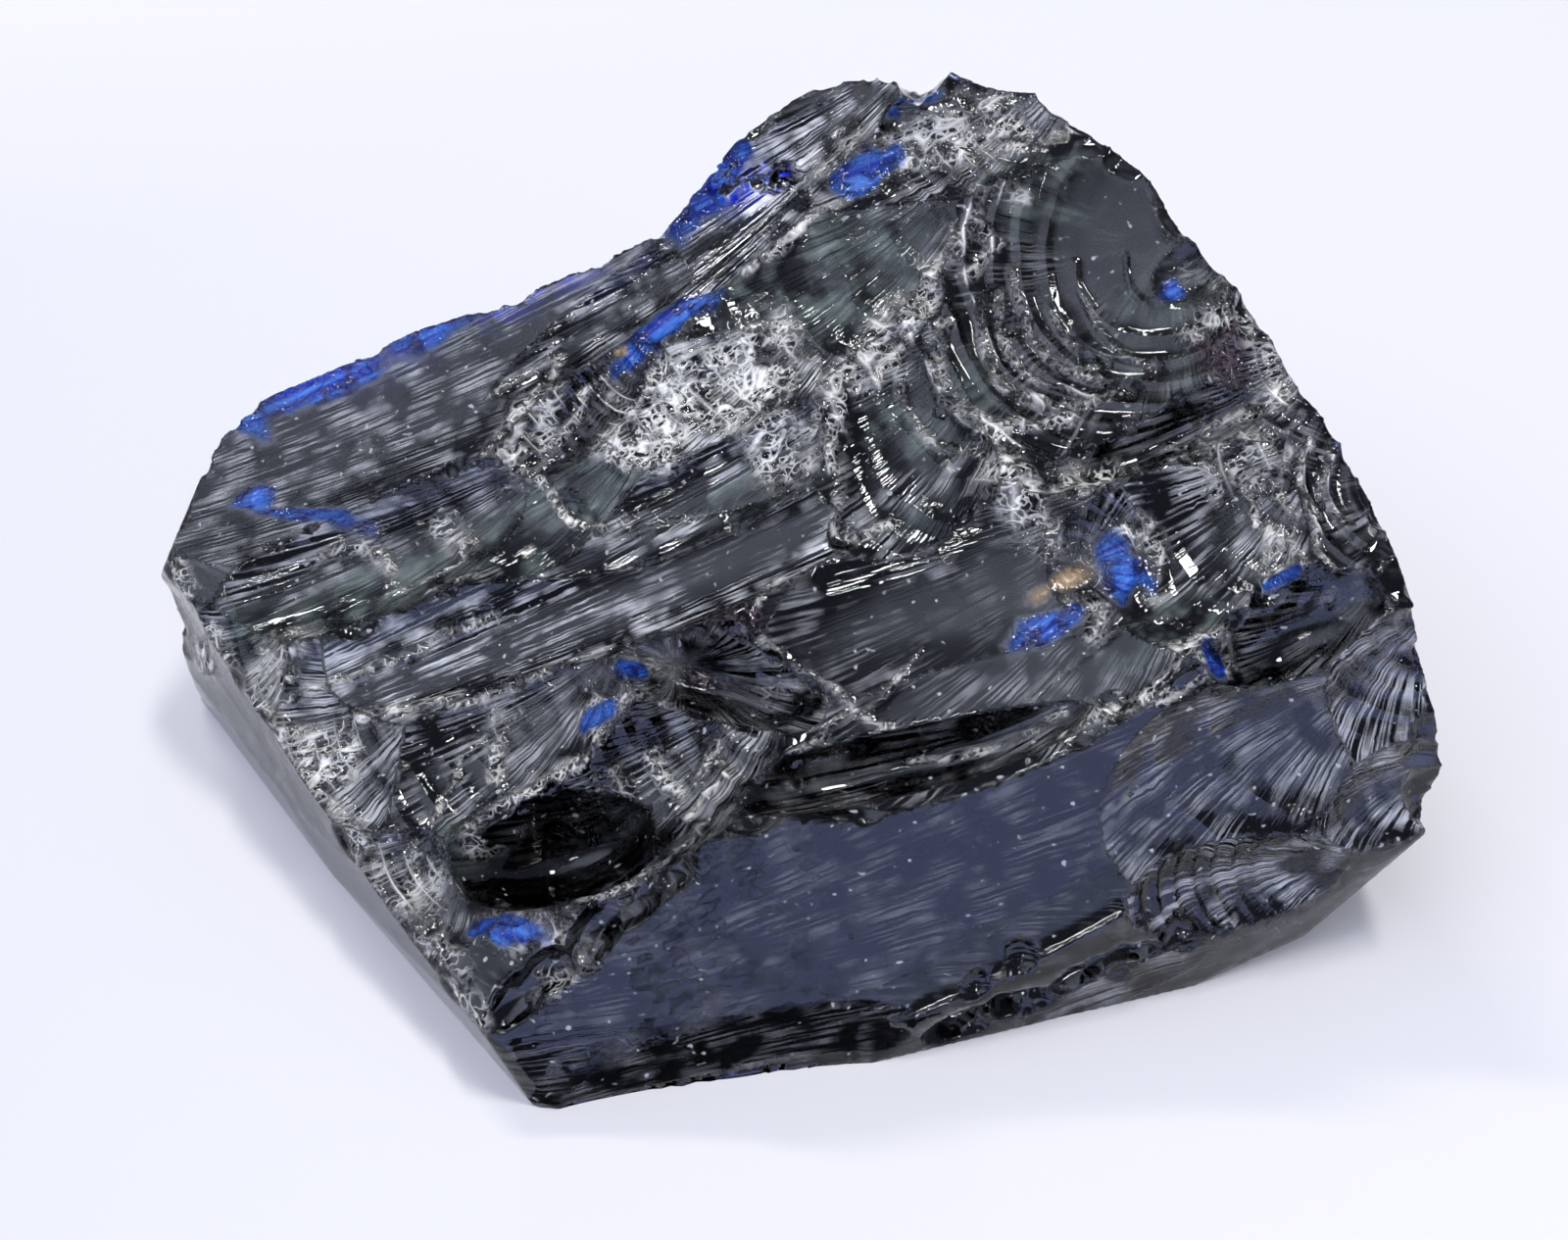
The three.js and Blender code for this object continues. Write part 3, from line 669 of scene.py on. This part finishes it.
def ripple(surface):
    """Raises the ripples round each strike, the ribs that fan out of it and the crumbs of crushed places."""
    points = surface.points
    normals = surface.normals(1)
    still = surface.marks.pop("calm")
    calm = 1 - still
    # ripples: narrow crests between broad troughs, bent a little, and fading in and out
    spacing, height = surface.ring_wave.T
    bend = lumps(points, "ring_bend") + lumps(points, "ring_quiver")
    surface.turns = surface.ring / spacing + bend
    fade = np.clip(RING_SHOWS + lumps(points, "ring_fade"), *RING_RANGE)
    surface.crest = height * fade * calm
    top, fall, sharpness = RING_SHAPE
    push = surface.crest * (top - fall * np.abs(np.sin(math.pi * surface.turns)) ** sharpness)
    # ribs: uneven ridges, long across the rings and narrow across the fan
    spacing, height = surface.rib_wave.T
    surface.fan = height * calm
    fan = np.column_stack([surface.ring / RIB_LENGTH, surface.rib / spacing, spacing])
    push += surface.fan * RIB_GAIN * (lumps(fan, "rib") + lumps(fan * FINE_RIB_STRETCH, "fine_rib"))
    # the hollow's own unevenness, drawn out along the ribs
    live = surface.spread(surface.live, 3) * (1 - STILLING * still)
    flow = np.column_stack([surface.ring * FLOW_STRETCH, surface.rib, points[:, 2] * FLOW_STRETCH])
    push += live * (lumps(flow, "swell") + lumps(flow, "fine_swell"))
    # crushed places: crooked crests and grit
    crush = surface.marks["crush"] = surface.marks["crush"] * calm
    wander = np.column_stack([lumps(points, f"crumble_wander_{axis}") for axis in "xyz"])
    crests = 1 - np.abs(lumps(flow + wander, "crumble"))
    push += crush * (CRUMBLE * crests + lumps(points, "grit"))
    above_table = np.clip((points[:, 2] - FOOT) / FOOT_FADE, 0, 1)
    surface.points = points + normals * (push * above_table)[:, None]


def hex_colour(code, strength=1.0):
    """An sRGB hex value as linear red, green and blue, times a strength, and an alpha of 1."""
    parts = [int(code[i : i + 2], 16) / 255 for i in (1, 3, 5)]
    linear = [c / 12.92 if c <= 0.04045 else ((c + 0.055) / 1.055) ** 2.4 for c in parts]
    return tuple(c * strength for c in linear) + (1.0,)


def colour(name, description, code):
    return bpy.props.FloatVectorProperty(
        name=name, description=description, default=hex_colour(code), subtype="COLOR", size=4, min=0, max=1
    )


class StoneColours(bpy.types.PropertyGroup):
    glass: colour("Glass", "What the glass lets through", "#007bee")
    # the white of crushed glass, which also gives the painted highlight on the crests of the crumbs
    crumbs: colour("Crumbs", "Crushed glass", "#faf7ec")
    film: colour("Film", "The thin film in the hollows", "#a9b8ae")
    # azure and sky are the colours of the painted blue glow at the thin rims and the shattered spots
    azure: colour("Azure", "Shattered spots, where they are deep", "#1034a8")
    sky: colour("Sky", "Shattered spots, where they are thin", "#4486ec")
    crust: colour("Crust", "The tan crust", "#cdb08a")
    stain: colour("Stain", "The mauve stain at the caves", "#8a7478")


class StoneSettings(bpy.types.PropertyGroup):
    grain: bpy.props.FloatProperty(
        name="Grain", description="Spacing of the points on the surface", default=0.5 * MM, unit="LENGTH"
    )
    chips: bpy.props.IntProperty(
        name="Chips", description="Small chips knocked out of the ridges", default=700
    )
    faces: bpy.props.IntProperty(
        name="Faces", description="Most triangles that the block may have", default=196000
    )


def keep_in_box(mesh):
    """Brings any point that has strayed out of the CAD solid's box back to its side."""
    low, high = (np.array(corner) for corner in cad_box)
    write_points(mesh, np.clip(read_points(mesh), low + BOX_GAP, high - BOX_GAP))


def select_only(thing):
    bpy.ops.object.select_all(action="DESELECT")
    thing.select_set(True)
    bpy.context.view_layer.objects.active = thing


class STONE_OT_break_block(bpy.types.Operator):
    """Break the block's faces into rippled shell-like scars with chipped ridges"""

    bl_idname = "stone.break_block"
    bl_label = "Broken block"

    def execute(self, context):
        settings = context.scene.stone
        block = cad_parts[NODE].copy()
        block.data = block.data.copy()
        block.name = block.data.name = "broken_block"
        block.parent = None
        for key in list(block.keys()):
            del block[key]
        context.collection.objects.link(block)
        select_only(block)
        bpy.ops.object.mode_set(mode="EDIT")
        bpy.ops.mesh.select_all(action="SELECT")
        bpy.ops.mesh.remove_doubles(threshold=WELD)
        bpy.ops.object.mode_set(mode="OBJECT")
        block.data.remesh_voxel_size = settings.grain
        bpy.ops.object.voxel_remesh()
        surface = Surface(block.data)
        for side, scars in SCARS.items():
            for scar in scars:
                carve_scar(surface, side, scar)
        lay_patches(surface)
        lay_seams(surface)
        chip_ridges(surface, settings.chips, np.random.default_rng(SEED))
        ripple(surface)
        surface.write()
        # what the gem's patterns follow
        markings = {name: getattr(surface, name) for name in MARKINGS}
        for name, values in (markings | surface.marks).items():
            layer = block.data.attributes.new(name, "FLOAT", "POINT")
            layer.data.foreach_set("value", values.astype(np.float32))
        # fewer triangles, which keep the shading of the fine surface
        triangles = sum(len(face.vertices) - 2 for face in block.data.polygons)
        bpy.ops.object.shade_smooth_by_angle(angle=CREASE)
        bpy.ops.object.duplicate()
        fine = context.object
        select_only(block)
        block.vertex_groups.new(name="even").add(range(len(surface.points)), 0.5, "REPLACE")
        thin = block.modifiers.new("thin", "DECIMATE")
        thin.ratio = min(1.0, settings.faces / triangles)
        thin.vertex_group = "even"
        thin.vertex_group_factor = EVENNESS
        bpy.ops.object.modifier_apply(modifier=thin.name)
        sheen = block.modifiers.new("sheen", "DATA_TRANSFER")
        sheen.object = fine
        sheen.use_loop_data = True
        sheen.data_types_loops = {"CUSTOM_NORMAL"}
        sheen.loop_mapping = "POLYINTERP_NEAREST"
        bpy.ops.object.modifier_apply(modifier=sheen.name)
        bpy.data.objects.remove(fine)
        keep_in_box(block.data)
        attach(block, "root")
        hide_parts(NODE)
        return {"FINISHED"}


def add_node(tree, kind, *values, choice=None, give=None, clamp=False, **named):
    """Adds a node and makes its main choice, gives its sockets their values or links, and returns an output.

    An operation, such as ADD, stands for the Math node that does it. The values fill the node's open sockets
    in order, and others go by name. Without "give", the output is the first open one.
    """
    if kind.isupper():
        kind, choice = "Math", kind
    node = tree.nodes.new("ShaderNode" + kind)
    if choice:
        setattr(node, MAIN_CHOICES[kind], choice)
    if clamp:
        node.use_clamp = True
    sockets = [*zip((socket for socket in node.inputs if socket.enabled), values)]
    sockets += [(node.inputs[name.replace("_", " ")], value) for name, value in named.items()]
    for socket, value in sockets:
        if isinstance(value, bpy.types.NodeSocket):
            tree.links.new(value, socket)
        else:
            socket.default_value = value
    return node.outputs[give] if give else next((output for output in node.outputs if output.enabled), None)


MAIN_CHOICES = {
    "Attribute": "attribute_name",
    "MapRange": "interpolation_type",
    "Math": "operation",
    "Mix": "data_type",
    "VectorMath": "operation",
}

# The gem's patterns: the size of each one's lumps, in millimetres. Real scratches and crumbs are finer, and
# these are as coarse as they need to be to show.
STREAK = 1.1  # the fine ribs along a scar's fan
LINE = 0.8  # the hair scratches among them
RIPPLE = 1.6  # the fine ripples across the fan
WORM = 2.0  # the crooked crests of crushed glass
BEND = 4.0  # what makes them crooked, and by how much
GRIT = 1.3  # the crumbs between them
SPECK = 0.9  # the grain of the frost, the crust and the stain
CLOUD = 5.0  # where the film and the scratches come and go
BREAK = 3.0  # where the frost and the blue come and go
DUST = 1.1  # the single crumbs
RIB_RUN, RIPPLE_RUN, FLOW_RUN = 0.035, 0.06, 0.25  # how far each is drawn out: its width by its length

# How high the bump's markings stand, by the height of the scar's own ribs or ripples.
LINE_HEIGHT, RIPPLE_HEIGHT, CREST_HEIGHT, SMALL_CREST_HEIGHT = 0.35, 0.2, 1.2, 0.12
CRISPNESS = 2.0  # the power that narrows the ripples' crests
LEAST_LIVE = 0.35  # how much of them an even hollow keeps
WORM_HEIGHT, GRIT_HEIGHT = 0.2, 0.1  # in millimetres, where the glass is all crushed

BLUE_CRUSH = 0.8  # how far a blue spot is crushed

# How much of the clear glass each finish covers where its patch is full; an edge is the power that thins it.
# Frost is partly the white of crushed glass and partly a painted highlight on the crests of the crumbs.
FROST_AND_GLINTS, GRIT_FROST, FROST_GRAIN, FROST_EDGE = 1.3, 0.7, 0.05, 1.3
# The white scratches are partly hair scratches and partly a painted highlight along the ribs; the white on
# the ripples' crests is a painted highlight.
FILM, SCRATCH_GLINTS, CREST_GLINT_STRENGTH, CREST_GLINT_EDGE, LONE_CRUMBS = 0.42, 5.0, 8.0, 3.0, 0.35
# BLUE and LEAST_BLUE: how strongly the painted blue glow covers the glass
BLUE, LEAST_BLUE, CRUST, STAIN = 0.55, 0.2, 0.5, 0.6
GEM_IOR, POLISH, FILM_ROUGHNESS = 1.5, 0.02, 0.04
ABSORPTION = 8500.0  # per metre: one millimetre of the glass is deep blue, and three are nearly black


class STONE_OT_gem(bpy.types.Operator):
    """Give the block its blue-black glass"""

    bl_idname = "stone.gem"
    bl_label = "Blue-black gem"

    def execute(self, context):
        colours = context.scene.stone_colours
        # a glassy gem as it broke: a wet shine, blue only where it is thin, white where it is crushed, with
        # painted highlights on the crumbs' crests, the ribs and the ripples' crests, and a painted blue glow
        # at the thin rims and shattered spots
        gem = bpy.data.materials.new("blue_black_gem")
        gem.use_nodes = True
        tree = gem.node_tree
        tree.nodes.clear()
        add = partial(add_node, tree)

        def crest_of(waves, sharpness):
            """Thin crests, from 0 to 1, that run where the noise passes its middle value."""
            away = add("ABSOLUTE", add("SUBTRACT", waves, 0.5))
            return add("SUBTRACT", 1.0, add("MULTIPLY", away, sharpness), clamp=True)

        def waves_of(turns, count):
            """How far the sine of so many half waves a turn is from 0."""
            angle = add("MULTIPLY", turns, count * math.pi)
            return add("ABSOLUTE", add("SINE", angle))

        def above(value, floor, gain):
            """How far a value rises above a floor, times a gain, and kept between 0 and 1."""
            return add("MULTIPLY", add("SUBTRACT", value, floor), gain, clamp=True)

        ring, rib, turns, crest, fan, live, crush, haze, blue, tan, mauve = (
            add("Attribute", choice=name, give="Fac")
            for name in (*MARKINGS, "crush", "haze", "blue", "tan", "mauve")
        )
        here = add("VectorMath", add("TexCoord", give="Object"), 1 / MM, choice="SCALE")

        # bump: fine ribs and scratches along each scar's fan, and ripples across it
        along = add("CombineXYZ", X=add("MULTIPLY", ring, RIB_RUN), Y=rib)
        across = add("CombineXYZ", X=ring, Y=add("MULTIPLY", rib, RIPPLE_RUN))
        streaks = add("TexNoise", Vector=along, Scale=1 / STREAK, Detail=1)
        lines = crest_of(add("TexNoise", Vector=along, Scale=1 / LINE, Detail=1), sharpness=10.0)
        ribs = add("ADD", streaks, add("MULTIPLY", lines, LINE_HEIGHT))
        ribs = add("MULTIPLY", ribs, fan)
        fine = add("TexNoise", Vector=across, Scale=1 / RIPPLE, Detail=0)
        crests = add("POWER", add("SUBTRACT", 1.0, waves_of(turns, 1)), CRISPNESS)
        ripples = add("MULTIPLY", fine, RIPPLE_HEIGHT)
        ripples = add("ADD", ripples, add("MULTIPLY", crests, CREST_HEIGHT))
        ripples = add("ADD", ripples, add("MULTIPLY", waves_of(turns, 3), SMALL_CREST_HEIGHT))
        height = add("ADD", ribs, add("MULTIPLY", ripples, crest))
        lively = add("MINIMUM", add("ADD", live, LEAST_LIVE), 1.0)
        height = add("MULTIPLY", height, lively)

        # and crooked crests and grit where the glass is crushed
        flow = add("CombineXYZ", X=add("MULTIPLY", ring, FLOW_RUN), Y=rib)
        bend = add("TexNoise", give="Color", Vector=here, Scale=1 / BEND, Detail=0)
        flow = add("VectorMath", flow, add("VectorMath", bend, BEND, choice="SCALE"), choice="ADD")
        worms = crest_of(add("TexNoise", Vector=flow, Scale=1 / WORM, Detail=1), sharpness=14.0)
        grit = crest_of(add("TexNoise", Vector=here, Scale=1 / GRIT, Detail=1), sharpness=12.0)
        broken = add("MAXIMUM", crush, add("MULTIPLY", blue, BLUE_CRUSH))
        crumbs = add("MULTIPLY", worms, WORM_HEIGHT)
        crumbs = add("ADD", crumbs, add("MULTIPLY", grit, GRIT_HEIGHT))
        height = add("ADD", height, add("MULTIPLY", crumbs, broken))
        bump = add("Bump", Strength=1.0, Distance=MM, Height=height)

        # what breaks the finishes up
        speckle = above(add("TexNoise", Vector=here, Scale=1 / SPECK, Detail=2), floor=0.5, gain=7.0)
        cloud = above(add("TexNoise", Vector=here, Scale=1 / CLOUD, Detail=2), floor=0.42, gain=4.0)
        some = above(add("TexNoise", Vector=here, Scale=1 / BREAK, Detail=1), floor=0.34, gain=6.0)
        wisps = above(streaks, floor=0.36, gain=3.5)

        # frost: crushed glass scatters white, strongest on the crooked crests and the grit, where the white
        # is partly a painted highlight
        bright = add("MAXIMUM", worms, add("MULTIPLY", grit, GRIT_FROST))
        frost_and_glints = add("MULTIPLY", add("MULTIPLY", bright, some), FROST_AND_GLINTS)
        frost_and_glints = add("ADD", frost_and_glints, add("MULTIPLY", speckle, FROST_GRAIN))
        frost_and_glints = add("MULTIPLY", add("POWER", crush, FROST_EDGE), frost_and_glints, clamp=True)

        # film: grey-green in the hollows, with the scratches, the crushed ripples' crests and single crumbs;
        # the white of the scratches is partly a painted highlight along the ribs, and the white on the crests
        # is a painted highlight
        hazy = add("MULTIPLY", haze, FILM)
        film = add("MULTIPLY", add("MULTIPLY", cloud, wisps), hazy)
        scratches_and_glints = add("MULTIPLY", lines, cloud)
        scratches_and_glints = add("MULTIPLY", scratches_and_glints, add("MULTIPLY", fan, SCRATCH_GLINTS))
        painted_crest_glints = add("POWER", crests, CREST_GLINT_EDGE)
        painted_crest_glints = add("MULTIPLY", painted_crest_glints, add("MULTIPLY", crest, CREST_GLINT_STRENGTH))
        scratches_and_crest_glints = add("MAXIMUM", scratches_and_glints, add("MULTIPLY", painted_crest_glints, crush))
        dust = above(add("TexNoise", Vector=here, Scale=1 / DUST, Detail=0), floor=0.77, gain=12.0)
        # the film also carries the painted highlights along the ribs and on the crests
        film = add("MAXIMUM", film, scratches_and_crest_glints)
        film = add("MAXIMUM", film, add("MULTIPLY", dust, LONE_CRUMBS))

        # a painted blue glow, for the light that would show through the thin rims and shine back off
        # shattered spots inside; the crust and the stain
        glow = add("ADD", add("MULTIPLY", some, BLUE), LEAST_BLUE)
        glow = add("MULTIPLY", blue, glow)
        crust = add("ADD", add("MULTIPLY", speckle, CRUST), 1 - CRUST)
        crust = add("MULTIPLY", tan, crust)
        stain = add("MULTIPLY", add("MULTIPLY", mauve, speckle), STAIN)
        solid = add("MAXIMUM", frost_and_glints, film)
        for finish in (glow, crust, stain):
            solid = add("MAXIMUM", solid, finish)
        clear = add("SUBTRACT", 1.0, solid, clamp=True)

        azure = add("Mix", add("MULTIPLY", wisps, some), colours.azure, colours.sky, choice="RGBA")
        paint = (1, 1, 1, 1)
        for patch, gain, tint in (
            (haze, 3.0, colours.film),
            (crush, 2.0, colours.crumbs),
            (mauve, 3.0, colours.stain),
            (blue, 3.0, azure),
            (tan, 3.0, colours.crust),
        ):
            share = add("MULTIPLY", patch, gain, clamp=True)
            paint = add("Mix", share, paint, tint, choice="RGBA")
        rough = add("ADD", add("MULTIPLY", haze, FILM_ROUGHNESS), POLISH)
        shader = add("BsdfPrincipled", Base_Color=paint, Roughness=rough, IOR=GEM_IOR,
                     Transmission_Weight=clear, Normal=bump)
        volume = add("VolumeAbsorption", Color=colours.glass, Density=ABSORPTION)
        add("OutputMaterial", Surface=shader, Volume=volume)
        block = bpy.data.objects["broken_block"]
        block.data.materials.clear()
        block.data.materials.append(gem)
        return {"FINISHED"}


TABLE_SIZE = (3.0, 3.0)
AIM = (0, 0, 39.33)  # what the camera looks at, in millimetres on the drawing's axes
MIRRORED = (-0.365, -0.109, 0.924)  # the way that the level parts of the top mirror the camera
LAMP_DISTANCE = 1.0
# Round that way: each lamp's tilt from it and its turn about it (0 at the back, 90 on the left), in degrees,
# its width and depth in metres, and its radiance.
LAMPS = [
    (36, 2, 0.30, 0.10, 46), (40, 42, 0.30, 0.15, 38), (32, 88, 0.24, 0.12, 40),
    (34, 160, 0.30, 0.14, 42), (40, 200, 0.34, 0.14, 44), (34, 285, 0.26, 0.12, 42), (60, 20, 0.40, 0.14, 38),
]
# The room's pale and dark places: the way to the middle of each, and its dot products with the ways where the
# place starts and where it is full.
CEILING = ((-0.55, -0.11, 0.83), 0.72, 0.98)  # a pale stretch of ceiling, mirrored by the top
SHADE = ((-0.088, 0.327, 0.94), 0.86, 0.96)  # a darker place in it, mirrored by the plain and the right bowl
FRONT = ((0.2, -0.98, 0), 0.3, 0.7)  # the room's front, pale only where it is also low
LOW = ((0, 0, -1), -0.36, -0.22)  # level and below, and up to about 13 degrees above
SHADE_DEPTH = 0.75
DIM_ROOM = hex_colour("#d5deff", 0.3)
PALE_CEILING = hex_colour("#dce5ff", 2.1)
PALE_FRONT = hex_colour("#c0cdff", 1.9)
# Two cards that only the glass mirrors, a pale one out in front of the block and a dark one at its foot:
# their places and sizes in metres, and how strongly they glow.
CARDS = [
    ("pale_card", (0.1, -0.65, 0.0004), (1.4, 1.12), 2.0),
    ("dark_card", (-0.002, -0.079, 0.0008), (0.06, 0.038), 0.0),
]
CARD = hex_colour("#1a1a1c")
CARD_GLOW = hex_colour("#b3bfff")


class StageSettings(bpy.types.PropertyGroup):
    elevation: bpy.props.FloatProperty(
        name="Elevation", description="How far the camera looks down",
        default=math.radians(45), unit="ROTATION",
    )
    distance: bpy.props.FloatProperty(
        name="Distance", description="From the camera to the block's middle",
        default=262.2 * MM, unit="LENGTH",
    )
    lens: bpy.props.FloatProperty(name="Lens", description="Focal length on a 36 mm frame", default=42.75)
    table: colour("Table", "The pale table", "#ebe8e6")


def plain_material(name, **sockets):
    """A material of one finish all over, whose shader's sockets are given by name."""
    material = bpy.data.materials.new(name)
    material.use_nodes = True
    shader = material.node_tree.nodes["Principled BSDF"]
    for socket, value in sockets.items():
        shader.inputs[socket.replace("_", " ")].default_value = value
    return material


def lay_sheet(name, place, size, material):
    """A flat sheet of the stage, with its place and size in its mesh."""
    bpy.ops.object.select_all(action="DESELECT")
    bpy.ops.mesh.primitive_plane_add(size=1.0, location=place)
    sheet = bpy.context.object
    sheet.name = name
    sheet.scale = (*size, 1)
    bpy.ops.object.transform_apply(location=True, rotation=True, scale=True)
    sheet.data.materials.append(material)
    return sheet


class STONE_OT_stage(bpy.types.Operator):
    """Set the pale table, the lights and the camera"""

    bl_idname = "stone.stage"
    bl_label = "Table, lights and camera"

    def execute(self, context):
        settings = context.scene.stone_stage
        scene = context.scene
        # laminate, smooth but not polished: it takes the light evenly
        laminate = plain_material("white_laminate", Base_Color=settings.table, Roughness=0.6)
        table = lay_sheet("table", (0, 0, 0), TABLE_SIZE, laminate)

        world = bpy.data.worlds.new("room")
        world.use_nodes = True
        tree = world.node_tree
        add = partial(add_node, tree)
        way = add("TexCoord", give="Generated")

        def towards(direction, start, full):
            """How near a view is to this direction, from 0 to 1, by their dot product."""
            dot = add("VectorMath", way, direction, choice="DOT_PRODUCT")
            return add("MapRange", dot, start, full, choice="SMOOTHSTEP")

        shade = add("MULTIPLY", towards(*SHADE), SHADE_DEPTH)
        pale = add("MULTIPLY", add("SUBTRACT", 1.0, shade), towards(*CEILING))
        room = add("Mix", pale, DIM_ROOM, PALE_CEILING, choice="RGBA")
        low = add("MULTIPLY", towards(*FRONT), towards(*LOW))
        room = add("Mix", low, room, PALE_FRONT, choice="RGBA")
        tree.links.new(room, tree.nodes["Background"].inputs["Color"])
        scene.world = world

        target = (Vector(AIM) - Vector(MIDDLE)) * MM
        middle = Vector(MIRRORED).normalized()
        back = (Vector((0, 1, 0)) - middle * middle.y).normalized()
        for k, (tilt, spin, width, depth, radiance) in enumerate(LAMPS):
            out = Matrix.Rotation(math.radians(spin), 3, middle) @ back
            across = middle.cross(out)
            facing = -(math.cos(math.radians(tilt)) * middle + math.sin(math.radians(tilt)) * out)
            name = f"lamp_{k + 1}"
            lamp = bpy.data.lights.new(name, "AREA")
            lamp.shape = "RECTANGLE"
            lamp.size, lamp.size_y = width, depth
            lamp.energy = radiance * math.pi * width * depth
            holder = bpy.data.objects.new(name, lamp)
            holder.location = target - LAMP_DISTANCE * facing
            holder.rotation_euler = Matrix((across, facing.cross(across), -facing)).transposed().to_euler()
            scene.collection.objects.link(holder)

        for name, place, size, glow in CARDS:
            paper = plain_material(name, Base_Color=CARD, Emission_Color=CARD_GLOW, Emission_Strength=glow)
            card = lay_sheet(name, place, size, paper)
            for rays in ("camera", "diffuse", "shadow", "transmission"):
                setattr(card, f"visible_{rays}", False)

        camera = bpy.data.objects.new("camera", bpy.data.cameras.new("camera"))
        camera.data.sensor_width = 36
        camera.data.lens = settings.lens
        camera.data.clip_start = 0.01
        look = Vector((0, math.cos(settings.elevation), -math.sin(settings.elevation)))
        camera.location = target - look * settings.distance
        camera.rotation_euler = look.to_track_quat("-Z", "Y").to_euler()
        scene.collection.objects.link(camera)
        scene.camera = camera
        scene.view_settings.view_transform = "Standard"
        return {"FINISHED"}


class STONE_PT_panel(bpy.types.Panel):
    """The steps that make the block and its stage"""

    bl_label = "Gem block"
    bl_idname = "STONE_PT_panel"
    bl_space_type = "VIEW_3D"
    bl_region_type = "UI"
    bl_category = "Gem block"

    def draw(self, context):
        for settings in (context.scene.stone, context.scene.stone_colours, context.scene.stone_stage):
            for name in settings.__annotations__:
                self.layout.prop(settings, name)
        for step in STEPS:
            self.layout.operator(step.bl_idname)


STEPS = (STONE_OT_break_block, STONE_OT_gem, STONE_OT_stage)
CLASSES = (StoneSettings, StoneColours, StageSettings, *STEPS, STONE_PT_panel)


def register():
    for item in CLASSES:
        bpy.utils.register_class(item)
    bpy.types.Scene.stone = bpy.props.PointerProperty(type=StoneSettings)
    bpy.types.Scene.stone_colours = bpy.props.PointerProperty(type=StoneColours)
    bpy.types.Scene.stone_stage = bpy.props.PointerProperty(type=StageSettings)


def unregister():
    del bpy.types.Scene.stone, bpy.types.Scene.stone_colours, bpy.types.Scene.stone_stage
    for item in reversed(CLASSES):
        bpy.utils.unregister_class(item)


def main():
    register()
    bpy.ops.stone.break_block()
    bpy.ops.stone.gem()
    bpy.ops.stone.stage()


if __name__ == "__main__":
    main()
